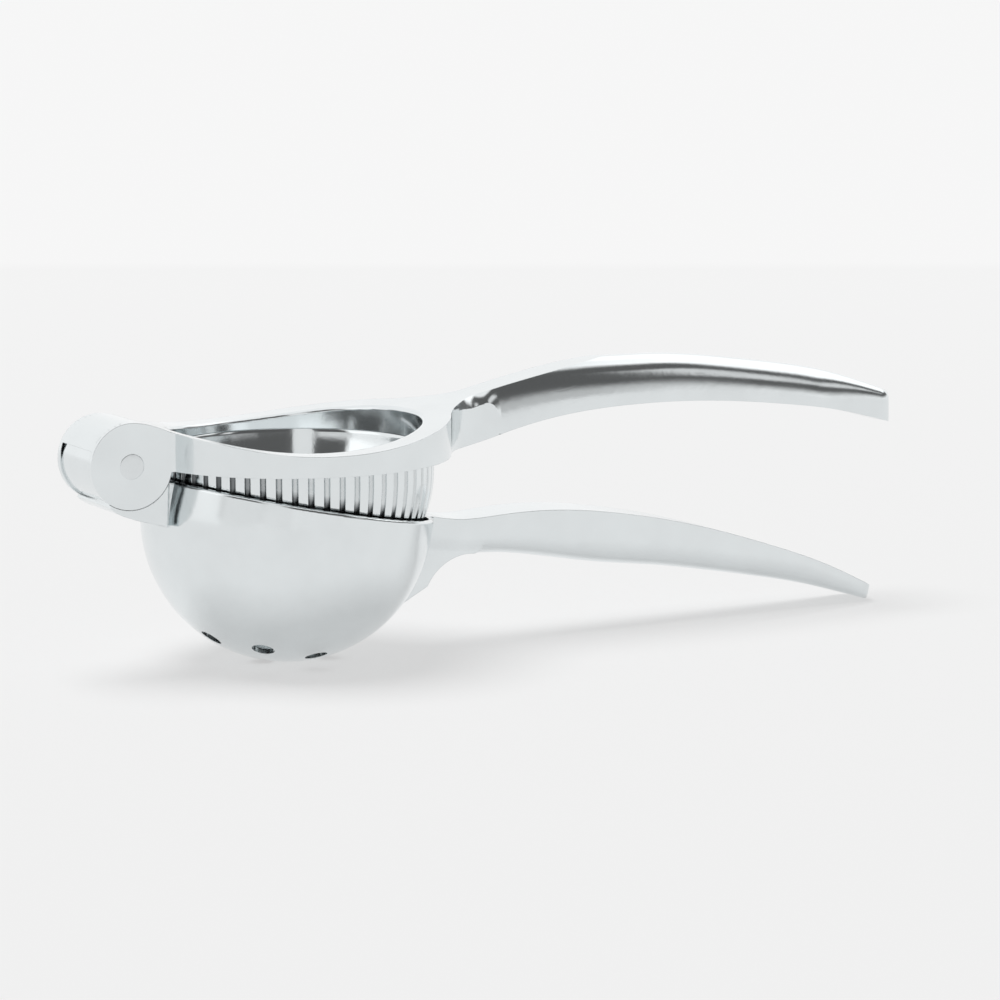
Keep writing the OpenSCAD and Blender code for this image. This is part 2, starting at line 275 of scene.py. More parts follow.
def spline(places, values, at):
    """Natural cubic spline through the values, straight beyond its two ends.

    The bends at the places solve the usual three-term equations, so that slope and bend
    run on without a break from piece to piece.
    """
    places = np.asarray(places, float)
    values = np.asarray(values, float)
    step = np.diff(places)
    count = len(places)
    system = np.eye(count)
    right = np.zeros(count)
    for i in range(1, count - 1):
        system[i, i - 1:i + 2] = step[i - 1], 2 * (step[i - 1] + step[i]), step[i]
        right[i] = 6 * ((values[i + 1] - values[i]) / step[i] - (values[i] - values[i - 1]) / step[i - 1])
    bend = np.linalg.solve(system, right)
    inside = np.clip(at, places[0], places[-1])
    i = np.clip(np.searchsorted(places, inside) - 1, 0, count - 2)
    h = step[i]
    a = (places[i + 1] - inside) / h
    b = (inside - places[i]) / h
    bent = (a ** 3 - a) * bend[i] + (b ** 3 - b) * bend[i + 1]
    curve = a * values[i] + b * values[i + 1] + bent * h * h / 6
    first = (values[1] - values[0]) / step[0] - step[0] * bend[1] / 6
    final = (values[-1] - values[-2]) / step[-1] + step[-1] * bend[-2] / 6
    return curve + np.minimum(at - places[0], 0) * first + np.maximum(at - places[-1], 0) * final


def joined(a, b, fillet):
    """Both bodies together, with a round fillet of that radius in the corner between them.

    a and b are distances to two surfaces, negative inside.
    """
    corner = np.hypot(np.maximum(fillet - a, 0), np.maximum(fillet - b, 0))
    return np.maximum(fillet, np.minimum(a, b)) - corner


def common(a, b, edge):
    """What the two bodies have in common, with the edge between them rounded to that radius."""
    return np.minimum(-edge, np.maximum(a, b)) + np.hypot(np.maximum(edge + a, 0), np.maximum(edge + b, 0))


def seam_height(x):
    """Height of the closing seam between the two handles."""
    share = (x - NECK_X) / HANDLE_LEN
    return -SEAM_DROP + np.where(share < 0, 0, spline(STATIONS, SEAM_RISE, np.maximum(share, 0)))


def handle_share(x):
    """How far along the handle x is: nought at the neck and 1 at the tip."""
    return np.clip((x - NECK_X) / HANDLE_LEN, 0, 1)


def corner_cut(x):
    """What the two rounded corners of a handle tip take off its half width."""
    depth = np.clip(1 - (TIP_X - x) / TIP_ROUND, 0, 1)
    return TIP_ROUND * (1 - np.sqrt(1 - depth * depth))


def handle_body(x, y, below, half_width, thick):
    """Distance to a handle whose section is a superellipse that stands on the flat seam.

    The way off the middle over the half width, and the way below the seam over the
    thickness, each to the same power, add up to 1. The power grows towards the tip, where
    the section gets squarer. below is the distance from the seam, measured into the handle.
    """
    wide = np.maximum(half_width - corner_cut(x), TIP_HALF_LEAST)
    u = np.abs(y) / wide
    v = np.maximum(below, 0) / thick
    near_tip = np.clip((x - TIP_X + TIP_POWER_FROM) / TIP_POWER_RUN, 0, 1)
    power = HANDLE_POWER + TIP_POWER_EXTRA * near_tip ** 2
    inside = (u ** power + v ** power + 1e-9) ** (1 / power)
    slope = np.hypot(u ** (power - 1) / wide, v ** (power - 1) / thick) * inside ** (1 - power)
    return (inside - 1) / np.maximum(slope, 0.5 / np.maximum(wide, thick))


def bowl_shell(x, y, z):
    """Distance from the middle of the bowl: half a sphere below, and a round collar above."""
    round_below = np.sqrt((x - BOWL_X) ** 2 + y * y + (z - BOWL_Z) ** 2)
    return np.where(z < BOWL_Z, round_below, np.hypot(x - BOWL_X, y))


def slanted(x, z, plane):
    """Distance to a slanted plane, which is given by a place on it and its outward normal."""
    at_x, at_z, way_x, way_z = plane
    return (x - at_x) * way_x + (z - at_z) * way_z


def handle_web(x, y, z):
    """Distance to the web under the handle: flat sides, a slanted edge and a round inner corner."""
    web = np.maximum(np.abs(y) - WEB_HALF, np.maximum(x - WEB_END, WEB_START - x))
    web = np.maximum(web, WEB_ROUND - np.hypot(x - WEB_END, z - WEB_ROUND_Z))
    return np.maximum(web, slanted(x, z, WEB_EDGE))


def block_floor(x, z):
    """Distance to the underside of the block: round behind, sloping in front, with a flat heel."""
    slope = math.radians(BLOCK_SLOPE)
    off_x, off_z = x - BLOCK_X, z - BLOCK_Z
    run = off_x * math.cos(slope) - off_z * math.sin(slope)
    drop = -off_x * math.sin(slope) - off_z * math.cos(slope)
    floor = np.where(run < 0, np.hypot(off_x, off_z), drop) - BLOCK_R
    return np.maximum(floor, slanted(x, z, BLOCK_HEEL))


def knuckle(x, y, z):
    """Distance to the knuckle: a disc that is thinner where the washers sit and wider at its rim."""
    along = np.hypot(x, z)
    turn = np.degrees(np.arctan2(z, x)) % 360
    rim = KNUCKLE_FULL_HALF + (RIM_HALF - KNUCKLE_FULL_HALF) * np.clip((turn - RIM_START) / RIM_RUN, 0, 1)
    rim = np.where(y < 0, RIM_HALF, rim)
    inner = np.where(along > WASHER_SEAT_R, KNUCKLE_FULL_HALF, KNUCKLE_HALF)
    return np.maximum(along - KNUCKLE_R, np.abs(y) - np.where(along > RIM_IN_R, rim, inner))


def lower_casting(x, y, z):
    """Distance to the lower casting, in its own frame with the closing plane level."""
    # The bowl's outside, then the handle and the web that run into it in round fillets
    bowl = bowl_shell(x, y, z) - BOWL_R
    seam = seam_height(x) - CLOSED_GAP / 2
    wide = spline(STATIONS, blended(LOWER_SHARE, *LOWER_WIDE), handle_share(x))
    thick = spline(STATIONS, blended(LOWER_SHARE, *LOWER_THICK), handle_share(x))
    handle = handle_body(x, y, seam - z, wide, thick)
    handle = np.maximum(handle, np.maximum(NECK_X - LOWER_ROOT - x, x - TIP_X))
    casting = joined(bowl, joined(handle, handle_web(x, y, z), WEB_FILLET), BOWL_FILLET)

    # The block under the hinge ears, hollowed to a saddle, with a heart between the ears
    along = np.hypot(x, z)
    floor = block_floor(x, z)
    lip = math.radians(BLOCK_LIP)
    block = np.maximum(floor, x * math.sin(lip) - z * math.cos(lip))
    end = slanted(x, z, BLOCK_END)
    heart = np.abs(y) - np.where(along > RIM_IN_R, RIM_HALF, KNUCKLE_HALF)
    heart = np.maximum(np.maximum(block, end + HEART_INSET), heart)
    cheek = np.abs(y) - BARREL_HALF
    block = np.maximum(common(block, cheek, BLOCK_EDGE), common(end, cheek, BLOCK_END_EDGE))
    casting = joined(casting, np.maximum(block, SADDLE_R - along), BLOCK_FILLET)

    # The bridge from the knuckle to the bowl
    bridge = np.abs(y) - np.where(along > KNUCKLE_R, BRIDGE_HALF, KNUCKLE_HALF)
    bridge = np.maximum(np.maximum(bridge, np.maximum(x - BRIDGE_END, -x)), floor)
    casting = np.minimum(casting, np.minimum(heart, bridge))

    # The top plane, the hollow of the bowl, the drain holes and the bore for the pin
    casting = common(casting, z - seam, BOWL_EDGE * np.clip((NECK_X - x) / BOWL_EDGE_RUN, 0, 1))
    casting = np.maximum(casting, BOWL_R - BOWL_WALL - bowl_shell(x, y, z))
    off_x, off_z = x - BOWL_X, z - BOWL_Z
    reach = off_x * off_x + y * y + off_z * off_z
    # The last hole is the one in the middle
    for i in range(DRAIN_COUNT + 1):
        turn = math.radians(DRAIN_TURN + i * 360 / DRAIN_COUNT)
        lean = math.radians(DRAIN_ANGLE) if i < DRAIN_COUNT else 0
        sideways = off_x * math.cos(turn) + y * math.sin(turn)
        down = sideways * math.sin(lean) - off_z * math.cos(lean)
        hole = DRAIN_R - np.sqrt(np.maximum(reach - down * down, 0))
        casting = np.where(down > 0, np.maximum(casting, hole), casting)
    casting = np.minimum(casting, knuckle(x, y, z))
    return np.maximum(casting, PIN_R + PIN_PLAY - along)


def ruled(*stretches):
    """Grid lines along one axis, from stretches of start, stop and spacing in a row."""
    return np.concatenate([np.linspace(a, b, round((b - a) / step), endpoint=False)
                           for a, b, step in stretches])


# How the meshes are made. A point moves by at most CELL_REACH cells to its first place, and by
# NEWTON_REACH of that in each of Newton's steps. Normals that spread by more than EDGE_SPREAD
# show that a cell holds an edge.
SLAB_LAYERS = 24
HALVINGS = 9
EDGE_SPREAD = 0.03
CELL_REACH = 1.2
NEWTON_REACH = 0.4
EVENINGS = 3


def skin(body, axes):
    """Points, faces and corner normals of the surface where the distance body(x, y, z) is nought.

    One point is made in every cell of the grid that the surface crosses, and one face for
    every grid edge that it crosses. Each point is put where the tangent planes at its
    cell's crossings meet best, which sets it on an edge of the body if one runs there. The
    other points are then evened out among their neighbours.
    """
    slabs = [body(part[:, None, None], axes[1][None, :, None], axes[2][None, None, :])
             for part in np.array_split(axes[0], max(1, len(axes[0]) // SLAB_LAYERS))]
    inside = np.concatenate([np.broadcast_to(s, (s.shape[0], len(axes[1]), len(axes[2]))) < 0 for s in slabs])
    counts = np.array(inside.shape) - 1
    corners = sum(inside[i:i + counts[0], j:j + counts[1], k:k + counts[2]].astype(np.int8)
                  for i in (0, 1) for j in (0, 1) for k in (0, 1))
    crossed = (corners > 0) & (corners < 8)
    number = np.full(crossed.shape, -1)
    number[crossed] = np.arange(crossed.sum())

    def slope(p, tiny=0.004):
        """Gradient of the distance, by small steps either way."""
        parts = []
        for k in range(3):
            shift = np.zeros(3)
            shift[k] = tiny
            parts.append((body(*(p + shift).T) - body(*(p - shift).T)) / (2 * tiny))
        return np.stack(parts, 1)

    # Every grid edge that the surface crosses, with the four cells round it
    faces, cells, places, ways = [], [], [], []
    for k in range(3):
        u, v = (k + 1) % 3, (k + 2) % 3
        here = np.moveaxis(inside, (k, u, v), (0, 1, 2))
        ids = np.moveaxis(number, (k, u, v), (0, 1, 2))
        a, b, c = np.nonzero(here[:-1, 1:-1, 1:-1] != here[1:, 1:-1, 1:-1])
        quad = np.stack([ids[a, b, c], ids[a, b + 1, c], ids[a, b + 1, c + 1], ids[a, b, c + 1]], 1)
        outward = here[:-1, 1:-1, 1:-1][a, b, c]
        faces.append(np.where(outward[:, None], quad, quad[:, ::-1]))
        start = np.zeros((len(a), 3))
        start[:, k], start[:, u], start[:, v] = axes[k][a], axes[u][b + 1], axes[v][c + 1]
        near, far = np.zeros(len(a)), np.diff(axes[k])[a]
        for _ in range(HALVINGS):
            middle = (near + far) / 2
            probe = start.copy()
            probe[:, k] += middle
            same = (body(*probe.T) < 0) == outward
            near, far = np.where(same, middle, near), np.where(same, far, middle)
        start[:, k] += (near + far) / 2
        way = slope(start)
        way /= np.maximum(np.linalg.norm(way, axis=1, keepdims=True), 1e-9)
        cells.append(quad.ravel())
        places.append(np.repeat(start, 4, 0))
        ways.append(np.repeat(way, 4, 0))
    faces, cells, places, ways = (np.concatenate(part) for part in (faces, cells, places, ways))
    many = int(number.max()) + 1
    reach = CELL_REACH * np.min([np.diff(axes[k]).min() for k in range(3)])

    def summed(values):
        """The values added up over the crossings of each cell."""
        return np.stack([np.bincount(cells, column, many) for column in values.T], 1)

    share = 1 / np.bincount(cells, minlength=many)[:, None]
    centre = summed(places) * share
    spread = (summed((ways[:, :, None] * ways[:, None, :]).reshape(-1, 9)) * share).reshape(-1, 3, 3)
    off = ((places - centre[cells]) * ways).sum(1, keepdims=True)
    pull = summed(ways * off) * share
    size, turn = np.linalg.eigh(spread)
    along = (turn * pull[:, :, None]).sum(1)
    step = np.where(size > EDGE_SPREAD, along / np.maximum(size, EDGE_SPREAD), 0)
    shift = (turn * step[:, None, :]).sum(2)
    shift *= np.minimum(1, reach / np.maximum(np.linalg.norm(shift, axis=1, keepdims=True), 1e-9))
    points = centre + shift
    edge = size[:, 1] > EDGE_SPREAD

    def settled(p, rounds):
        """The points moved on to the surface by Newton's steps."""
        for _ in range(rounds):
            g = slope(p)
            step = (body(*p.T) / np.maximum((g * g).sum(1), 0.05))[:, None] * g
            far = np.linalg.norm(step, axis=1, keepdims=True)
            p = p - step * np.minimum(1, NEWTON_REACH * reach / np.maximum(far, 1e-9))
        return p

    points[~edge] = settled(points[~edge], 3)
    for _ in range(EVENINGS):
        total = np.zeros_like(points)
        for k in range(4):
            for near in (faces[:, (k + 1) % 4], faces[:, (k + 3) % 4]):
                for axis in range(3):
                    total[:, axis] += np.bincount(faces[:, k], points[near, axis], len(points))
        count = 2 * np.bincount(faces.ravel(), minlength=len(points))
        points[~edge] = settled((0.5 * points + 0.5 * total / np.maximum(count, 1)[:, None])[~edge], 2)
    # A corner on an edge takes its normal from a quarter of the way in to the middle of its face
    normals = slope(points)[faces]
    torn = edge[faces]
    middle = points[faces].mean(1, keepdims=True)
    normals[torn] = slope((points[faces] * 0.75 + middle * 0.25)[torn])
    return points, faces, normals / np.linalg.norm(normals, axis=2, keepdims=True)


def tilted(vectors, degrees):
    """The vectors turned about the hinge axis; positive lowers the handle."""
    s, c = math.sin(math.radians(degrees)), math.cos(math.radians(degrees))
    x, y, z = np.moveaxis(vectors, -1, 0)
    return np.stack([x * c + z * s, y, z * c - x * s], -1)


def piece(name, points, faces, material, normals=None, sharp=None):
    """A smooth mesh object in metres, from points in millimetres from the hinge axis.

    It takes the given normals at the corners of its faces, or its edges are sharp where
    two faces meet at more than that many degrees.
    """
    mesh = bpy.data.meshes.new(name)
    mesh.from_pydata((points + HINGE_PLACE) / 1000, [], faces)
    mesh.polygons.foreach_set("use_smooth", np.ones(len(mesh.polygons), bool))
    mesh.update()
    if normals is not None:
        mesh.normals_split_custom_set(normals.reshape(-1, 3))
    if sharp is not None:
        mesh.set_sharp_from_angle(angle=math.radians(sharp))
    mesh.materials.append(material)
    shown = bpy.data.objects.new(name, mesh)
    bpy.context.scene.collection.objects.link(shown)
    return shown


# Looks of the metals. The scales of the noises are per metre, a span is where a noise goes from
# none to full, and each lay of scratches is a turn and a stretch of its noise.
EDGE_ROUND = 0.00022
MIST_SCALE = 85.0
MIST_SPAN = (0.35, 0.68)
DIMPLE_SCALE = 420.0
DULL_SHARE = 0.965
SCRATCH_SPAN = (0.66, 0.74)
SCRATCH_DEEP = -0.15
SCRATCH_LAY = ((0.5, (90.0, 2600.0, 400.0)), (-0.35, (1900.0, 130.0, 900.0)))


def ramp(tree, value, start, stop, low=0.0, high=1.0):
    """A number that goes from low to high as the value goes from start to stop."""
    return node_of(tree, "ShaderNodeMapRange", i0=value, i1=start, i2=stop, i3=low, i4=high).outputs[0]


def polished_metal(name, colour, roughness, cloud=0.03, scratch=0.05, grain=0.02):
    """Bright metal with a cloudy polish, fine tumbling scratches, and a trace of cast grain.

    cloud and scratch are what they add to the roughness, and grain is the strength of the
    dimples. The edges catch the light on a round of EDGE_ROUND metres.
    """
    material = bpy.data.materials.new(name)
    material.use_nodes = True
    tree = material.node_tree
    shader = tree.nodes["Principled BSDF"]
    shader.inputs["Metallic"].default_value = 1
    place = node_of(tree, "ShaderNodeTexCoord").outputs["Object"]
    mist = node_of(tree, "ShaderNodeTexNoise", Vector=place, Scale=MIST_SCALE, Detail=4.0, Roughness=0.6)
    mist = ramp(tree, mist.outputs[0], *MIST_SPAN)
    # Scratches: thin dark veins of two stretched noises that cross each other
    veins = []
    for turn, stretch in SCRATCH_LAY:
        laid = node_of(tree, "ShaderNodeMapping", Vector=place, Rotation=(0.2, turn, turn), Scale=stretch)
        line = node_of(tree, "ShaderNodeTexNoise", Vector=laid.outputs[0], Scale=1.0, Detail=2.0)
        veins.append(ramp(tree, line.outputs[0], *SCRATCH_SPAN))
    vein = sum_of(tree, "MAXIMUM", *veins)
    rough = sum_of(tree, "MULTIPLY_ADD", mist, cloud, roughness - cloud / 2)
    rough = sum_of(tree, "MULTIPLY_ADD", vein, scratch, rough)
    tree.links.new(rough, shader.inputs["Roughness"])
    dull = tuple(DULL_SHARE * part for part in colour[:3]) + (1,)
    tree.links.new(mixed_colour(tree, mist, colour, dull), shader.inputs["Base Color"])
    dimple = node_of(tree, "ShaderNodeTexNoise", Vector=place, Scale=DIMPLE_SCALE, Detail=3.0).outputs[0]
    height = sum_of(tree, "MULTIPLY_ADD", vein, SCRATCH_DEEP, dimple)
    rounded = node_of(tree, "ShaderNodeBevel", {"samples": 6}, Radius=EDGE_ROUND).outputs[0]
    bump = node_of(tree, "ShaderNodeBump", Strength=grain, Distance=0.001, Height=height, Normal=rounded)
    tree.links.new(bump.outputs[0], shader.inputs["Normal"])
    return material


CAST_COLOUR = (0.80, 0.835, 0.845, 1)
CELL = 1.0
lower_metal = polished_metal("cast_aluminium_lower", CAST_COLOUR, roughness=0.15)
# The grid is finest at the hinge and at the tip
points, faces, normals = skin(lower_casting, [
    ruled((-12, 13, 0.38 * CELL), (13, 84, 0.68 * CELL), (84, 211, 0.9 * CELL), (211, 218, 0.5 * CELL)),
    ruled((-36, 36, 0.57 * CELL)), ruled((-44, 7, 0.54 * CELL))])
lower = piece("lower_casting", tilted(points, REST_TILT), faces, lower_metal, tilted(normals, REST_TILT))
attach(lower, "bowl_lever")
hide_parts("lower_lever")


# ---------------------------------------------------------------------------------------
# Upper lever: the second casting, polished like the first. Its two ears hold the hinge pin,
# a thin cover joins them over the knuckle, and a ring that dips in the middle runs out into
# the handle. The handle is flat below and crowned above, with a flat ground on its neck.
# ---------------------------------------------------------------------------------------
RING_Z = -SEAM_DROP + CLOSED_GAP / 2
RING_R = 37.4
RING_IN_R = 30.4
RING_EDGE = 0.8
SPIGOT_R = 31.7
SPIGOT_TOP = RING_Z + 2.4
PLATE_END = 16.0
PLATE_FILLET = 0.9
# The line of the top in x and z, to which the hinge plate, the ring and the neck are cut
TOP_LINE = np.array([
    (0, 10.15), (3.6, 9.65), (7.3, 8.45), (11.15, 6.95), (15.4, 5.9), (21.2, 4.6), (29.6, 3.35),
    (38.5, 2.95), (53, 3.65), (68, 5.75), (83.9, 8.55), (91, 9.95), (98, 11.45), (104, 12.75),
    (110, 13.95), (116, 15.1), (122, 16.15), (130, 17.3)])

# The neck, which is wider than the handle up to BOSS_END and is flat on its sides
NECK_FILLET = 11.0
BOSS_EXTRA = 1.3
BOSS_END = 95.0
BOSS_RUN = 5.0
FLAT_HALF = 6.0
FLAT_END = 99.0
FLAT_SPLAY = 0.5
FLAT_SPLAY_MOST = 3.0
UPPER_SHARE = np.array([0, 0.5, 0.7, 0.75, 1, 0.9, 0.71, 0.58, 0.42, 0])
UPPER_CROWN = (10.5, 12.0, 8.0)
UPPER_WIDE = (5.8, 7.2, 6.2)
UPPER_ROOT = 12.0
FACET_HALF = np.array([4.5, 4.5, 4.5, 4.2, 0, 0, 0, 0, 0, 0])

# The slot for the knuckle is open to the outside between two angles, and the cover closes the
# rest of it. A rebate in its sides takes the knuckle's rim.
EAR_T = 2.9
SLOT_HALF = BARREL_HALF - EAR_T
SLOT_OPEN_FROM = 157.0
SLOT_OPEN_TO = 348.0
SLOT_END = 14.0
COVER_IN_R = 9.77
REBATE_R = 8.4
REBATE_HALF = 8.87


def crown_share(off, half_width):
    """Height of a handle's section at a way off its middle, as a share of its full height."""
    return (1 - (off / half_width) ** HANDLE_POWER) ** (1 / HANDLE_POWER)


def upper_casting(x, y, z):
    """Distance to the upper casting, in the frame that the whole squeezer has at rest."""
    # The sizes of the crown are its heights at the edges of the flat, FACET_HALF off the middle
    wide_at = blended(LOWER_SHARE, *UPPER_WIDE)
    crown_at = blended(UPPER_SHARE, *UPPER_CROWN) / crown_share(FACET_HALF, wide_at)
    ease = np.clip((x - BOSS_END) / BOSS_RUN, 0, 1)
    plain = spline(STATIONS, wide_at, handle_share(x))
    boss = plain + BOSS_EXTRA * (1 - ease * ease * (3 - 2 * ease))
    crown = spline(STATIONS, crown_at, handle_share(x))
    crown = crown * crown_share(FACET_HALF[0], plain) / crown_share(FACET_HALF[0], boss)
    below = z - seam_height(x) - CLOSED_GAP / 2
    handle = handle_body(x, y, below, boss, crown)
    flat = FLAT_HALF + np.clip((x - FLAT_END) * FLAT_SPLAY, 0, FLAT_SPLAY_MOST)
    handle = np.maximum(handle, np.abs(y) - flat)
    handle = np.maximum(handle, np.maximum(NECK_X - UPPER_ROOT - x, x - TIP_X))

    # In plan the hinge plate, the ring and the handle run into one another in round fillets
    off_axis = np.hypot(x - BOWL_X, y)
    plate = np.maximum(np.abs(y) - BARREL_HALF, np.maximum(x - PLATE_END, -x))
    casting = joined(joined(off_axis - RING_R, handle, NECK_FILLET), plate, PLATE_FILLET)
    casting = np.maximum(casting, -below)
    casting = np.maximum(casting, z - spline(*TOP_LINE.T, np.maximum(x, 0)))
    casting = common(casting, RING_IN_R - off_axis, RING_EDGE)
    seat = np.maximum(off_axis - SPIGOT_R, z - SPIGOT_TOP)
    casting = np.maximum(casting, -seat)

    # The hinge barrel, slotted for the knuckle of the other lever
    along = np.hypot(x, z)
    casting = np.minimum(casting, np.maximum(along - BARREL_R, np.abs(y) - BARREL_HALF))
    start, stop = math.radians(SLOT_OPEN_FROM), math.radians(SLOT_OPEN_TO)
    slot = np.minimum(x * math.sin(start) - z * math.cos(start), z * math.cos(stop) - x * math.sin(stop))
    half = np.where(along > REBATE_R, REBATE_HALF, SLOT_HALF)
    slot = np.maximum(np.minimum(slot, along - COVER_IN_R), np.abs(y) - half)
    slot = np.maximum(slot, x - SLOT_END)
    return np.maximum(casting, -slot)


upper_metal = polished_metal("cast_aluminium_upper", CAST_COLOUR, roughness=0.13)
points, faces, normals = skin(upper_casting, [
    ruled((-12, 13, 0.32 * CELL), (13, 84, 0.45 * CELL), (84, 211, 0.6 * CELL), (211, 218, 0.4 * CELL)),
    ruled((-39, 39, 0.42 * CELL)), ruled((-12, 19, 0.38 * CELL))])
upper = piece("upper_casting", points, faces, upper_metal, normals)
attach(upper, "press_lever")
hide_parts("upper_lever")


# ---------------------------------------------------------------------------------------
# Press cup: a thick cup of the same metal, seated in the ring on a spigot. Grooves run down
# its outside, and its inside is smooth.
# ---------------------------------------------------------------------------------------
CUP_R = 33.25
CUP_Z = -5.0
CUP_PLAY = 0.02
SHOULDER_EDGE = 0.25
SPIGOT_EDGE = 0.15
# The hollow in radius and height, down its curve
HOLLOW = np.array([
    (30.38, 0.28), (30.15, -1.2), (29.65, -3.5), (28.88, -6.2), (27.5, -10), (25.6, -15),
    (23.2, -20), (19.8, -25), (15.6, -29), (10.6, -32), (5.0, -34), (0.0, -34.6)])
FOOT_ROWS = 12
WALL_ROWS = 48
HOLLOW_ROWS = 69

# The grooves: the turn that they start from, and where on the round wall they run out, in degrees
GROOVE_COUNT = 56
GROOVE_R = 0.74
GROOVE_START = 3.27
GROOVE_END = 56.0
GROOVE_FADE = 4.0
GROOVE_SWEEP = [-90, -80, -58, -29, 0, 29, 58, 80, 90]
RIB_SHARES = np.array([0.08, 0.5, 0.92])

# Painted shade in the grooves: its strength at two distances from the hinge and at two
# heights above the bowl's rim. It sets in between two depths in the groove.
# Painted shade: a dark colour laid into the grooves for the shade of the hollows and of the dark hinge gap
GROOVE_SHADE_COLOUR = (0.05, 0.055, 0.06, 1)
GROOVE_SHADE_X = (19.375, 33.375)
GROOVE_SHADE_BY_HINGE = (0.88, 0.14)
GROOVE_SHADE_ABOVE_RIM = (3.75, 1.45)
GROOVE_SHADE_BY_RIM = (0.0, 0.8)
GROOVE_SHADE_DEPTH = (0.12, 0.4)
GROOVE_DULL = 0.16


def turned_cup():
    """Points of the cup in rows from pole to pole, and how deep each lies in its groove.

    A profile is carried round the axis. Each groove is half a circle of radius R across: at
    the turn t from -90 to 90 degrees the way across is R sin t and the depth is R cos t. The
    ribs between the grooves follow the cup. The depths are given as shares of R.
    """
    sweep = np.radians(GROOVE_SWEEP)
    half = GROOVE_R / CUP_R
    pitch = 2 * math.pi / GROOVE_COUNT
    across = np.concatenate([half * np.sin(sweep), half + (pitch - 2 * half) * RIB_SHARES])
    deep = np.concatenate([GROOVE_R * np.cos(sweep), 0 * RIB_SHARES])
    starts = np.arange(GROOVE_COUNT) * pitch + pitch / 2 + math.radians(GROOVE_START)
    angle = (starts[:, None] + across).ravel()

    # Up the round wall, over the shoulder and the spigot, and down the hollow by its length
    foot = np.linspace(90, GROOVE_END + 3, FOOT_ROWS)
    fall = np.radians(np.concatenate([foot, np.linspace(GROOVE_END + 2, 0, WALL_ROWS)]))
    wall = np.stack([CUP_R * np.cos(fall), CUP_Z - CUP_R * np.sin(fall)], 1)
    top = SPIGOT_TOP - CUP_PLAY
    shoulder = [(CUP_R, RING_Z - CUP_PLAY), (SPIGOT_R + SHOULDER_EDGE, RING_Z - CUP_PLAY), (SPIGOT_R, RING_Z),
                (SPIGOT_R, top - SPIGOT_EDGE), (SPIGOT_R - SPIGOT_EDGE, top),
                (RING_IN_R + SPIGOT_EDGE, top), (RING_IN_R, top - SPIGOT_EDGE)]
    length = np.concatenate([[0], np.cumsum(np.hypot(*np.diff(HOLLOW, axis=0).T))])
    down = np.linspace(0, length[-1], HOLLOW_ROWS + 1)[1:]
    hollow_r, hollow_z = (spline(length, values, down) for values in HOLLOW.T)
    rows = np.concatenate([wall, shoulder, np.stack([np.maximum(hollow_r, 0), hollow_z], 1)])

    # The grooves are cut square to the wall, and run out in a round towards the foot
    fade = np.zeros(len(rows))
    fade[:len(wall)] = np.clip((GROOVE_END - np.degrees(fall)) / GROOVE_FADE, 0, 1)
    fade[len(wall)] = 1
    lean = np.zeros(len(rows))
    lean[:len(wall)] = fall
    sunk = np.tile(deep, GROOVE_COUNT) * np.sqrt(fade * (2 - fade))[:, None]
    r = rows[:, :1] - sunk * np.cos(lean)[:, None]
    z = rows[:, 1:] + sunk * np.sin(lean)[:, None]
    return np.stack([BOWL_X + r * np.cos(angle), r * np.sin(angle), z], -1), sunk / GROOVE_R


def from_pole_to_pole(grid):
    """The grid as one list: the first and the last row are poles, and give one entry each."""
    return np.concatenate([grid[0, :1], grid[1:-1].reshape(-1, *grid.shape[2:]), grid[-1, :1]])


def closed_turning(grid):
    """Points and faces of a grid that closes on itself along its columns and at both poles."""
    rows, columns = grid.shape[:2]
    points = from_pole_to_pole(grid)
    ids = 1 + np.arange((rows - 2) * columns).reshape(rows - 2, columns)
    right = np.roll(ids, -1, 1)
    quads = np.stack([ids[:-1], right[:-1], right[1:], ids[1:]], -1).reshape(-1, 4)
    low = np.stack([np.zeros(columns, int), right[0], ids[0]], -1)
    high = np.stack([ids[-1], right[-1], np.full(columns, len(points) - 1)], -1)
    return points, low.tolist() + quads.tolist() + high.tolist()


def with_painted_groove_shade(material):
    """The metal with painted shade in its grooves, where it is darker, and duller by a rise in roughness.

    The painted shade is strong beside the hinge and down at the bowl's rim. The rim leans with the
    lower lever, so a height above it is x times the sine of REST_TILT plus z times its
    cosine, less the same sum at the rim.
    """
    tree = material.node_tree
    shader = tree.nodes["Principled BSDF"]
    groove = node_of(tree, "ShaderNodeAttribute", {"attribute_name": "groove"}).outputs["Fac"]
    sunk = ramp(tree, groove, *GROOVE_SHADE_DEPTH)
    apart = node_of(tree, "ShaderNodeSeparateXYZ", i0=node_of(tree, "ShaderNodeTexCoord").outputs["Object"])
    start, stop = [(HINGE_PLACE[0] + x) / 1000 for x in GROOVE_SHADE_X]
    by_hinge = ramp(tree, apart.outputs["X"], start, stop, *GROOVE_SHADE_BY_HINGE)
    way_x, way_z = math.sin(math.radians(REST_TILT)), math.cos(math.radians(REST_TILT))
    rim = (HINGE_PLACE[0] * way_x + HINGE_PLACE[2] * way_z + RIM_Z) / 1000
    above = sum_of(tree, "MULTIPLY_ADD", apart.outputs["Z"], way_z, -rim)
    above = sum_of(tree, "MULTIPLY_ADD", apart.outputs["X"], way_x, above)
    high, low = [height / 1000 for height in GROOVE_SHADE_ABOVE_RIM]
    by_rim = ramp(tree, above, high, low, *GROOVE_SHADE_BY_RIM)
    # Painted shade: the groove colour goes towards the dark colour by this strength
    strength = sum_of(tree, "MULTIPLY", sunk, sum_of(tree, "MAXIMUM", by_hinge, by_rim))
    unshaded = shader.inputs["Base Color"].links[0].from_socket
    tree.links.new(mixed_colour(tree, strength, unshaded, GROOVE_SHADE_COLOUR), shader.inputs["Base Color"])
    rough = shader.inputs["Roughness"].links[0].from_socket
    tree.links.new(sum_of(tree, "MULTIPLY_ADD", sunk, GROOVE_DULL, rough), shader.inputs["Roughness"])
    return material
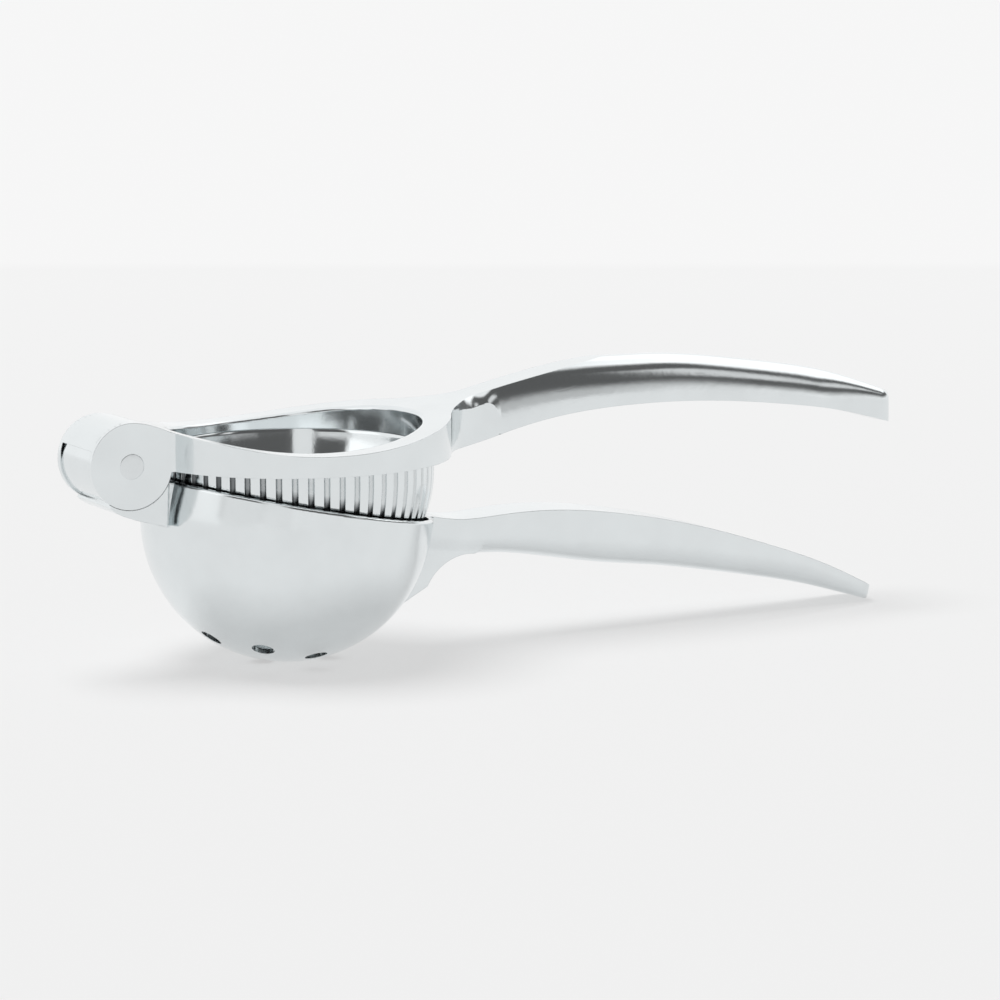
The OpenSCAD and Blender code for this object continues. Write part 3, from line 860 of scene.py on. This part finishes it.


# The cup's grooves get painted shade, darkest beside the hinge and at the bowl's rim
cup_metal = with_painted_groove_shade(polished_metal("cast_aluminium_cup", CAST_COLOUR, roughness=0.11))
cup_grid, groove_depth = turned_cup()
cup = piece("press_cup_fluted", *closed_turning(cup_grid), cup_metal, sharp=38)
groove_depth = from_pole_to_pole(groove_depth).astype(np.float32)
cup.data.attributes.new("groove", "FLOAT", "POINT").data.foreach_set("value", groove_depth)
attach(cup, "press_lever")
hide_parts("press_cup")


# ---------------------------------------------------------------------------------------
# Hinge pin and friction washers: a steel pin pressed through both ears, a hair proud of
# them with softly rounded ends, and a flat steel washer beside each end of the knuckle.
# ---------------------------------------------------------------------------------------
PIN_PROUD = 0.1
PIN_ROUND = 0.14
WASHER_T = 0.5
WASHER_R = 7.5
WASHER_EDGE = 0.08
WASHER_PLAY = 0.02
STEEL_COLOUR = (0.77, 0.80, 0.81, 1)


def turned_on_pin(profile, columns=96):
    """A profile of radius and place along the pin, carried round the hinge axis."""
    angle = np.arange(columns) * 2 * math.pi / columns
    r, y = profile[:, :1], profile[:, 1:]
    return np.stack([r * np.cos(angle), y + 0 * angle, -r * np.sin(angle)], -1)


def closed_both_ways(grid):
    """Points and faces of a grid that closes on itself along its rows and along its columns."""
    rows, columns = grid.shape[:2]
    ids = np.arange(rows * columns).reshape(rows, columns)
    below, right = np.roll(ids, -1, 0), np.roll(ids, -1, 1)
    quads = np.stack([ids, right, np.roll(below, -1, 1), below], -1).reshape(-1, 4)
    return grid.reshape(-1, 3), quads.tolist()


pin_steel = polished_metal("pin_steel", STEEL_COLOUR, roughness=0.2, cloud=0.02, scratch=0.08, grain=0.01)
end = BARREL_HALF + PIN_PROUD
turn = np.linspace(0, math.pi / 2, 6)
round_r = PIN_R - PIN_ROUND + PIN_ROUND * np.sin(turn)
round_y = PIN_ROUND - end - PIN_ROUND * np.cos(turn)
near_end = np.concatenate([[(0, -end), (PIN_R / 2, -end)], np.stack([round_r, round_y], 1)])
profile = np.concatenate([near_end, near_end[::-1] * (1, -1)])
pin = piece("hinge_pin_steel", *closed_turning(turned_on_pin(profile)), pin_steel)
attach(pin, "press_lever")
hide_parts("hinge_pin")

washer_steel = polished_metal("washer_steel", STEEL_COLOUR, roughness=0.3, cloud=0.05, scratch=0.1)
low, high = KNUCKLE_HALF + WASHER_PLAY, KNUCKLE_HALF + WASHER_T
bore = PIN_R + WASHER_PLAY
section = np.array([
    (bore, low + WASHER_EDGE), (bore + WASHER_EDGE, low), (WASHER_R - WASHER_EDGE, low),
    (WASHER_R, low + WASHER_EDGE), (WASHER_R, high - WASHER_EDGE), (WASHER_R - WASHER_EDGE, high),
    (bore + WASHER_EDGE, high), (bore, high - WASHER_EDGE)])
for name, outline in (("washer_near", section[::-1] * (1, -1)), ("washer_far", section)):
    washer = piece(name + "_steel", *closed_both_ways(turned_on_pin(outline)), washer_steel, sharp=40)
    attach(washer, "press_lever")
    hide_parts(name)
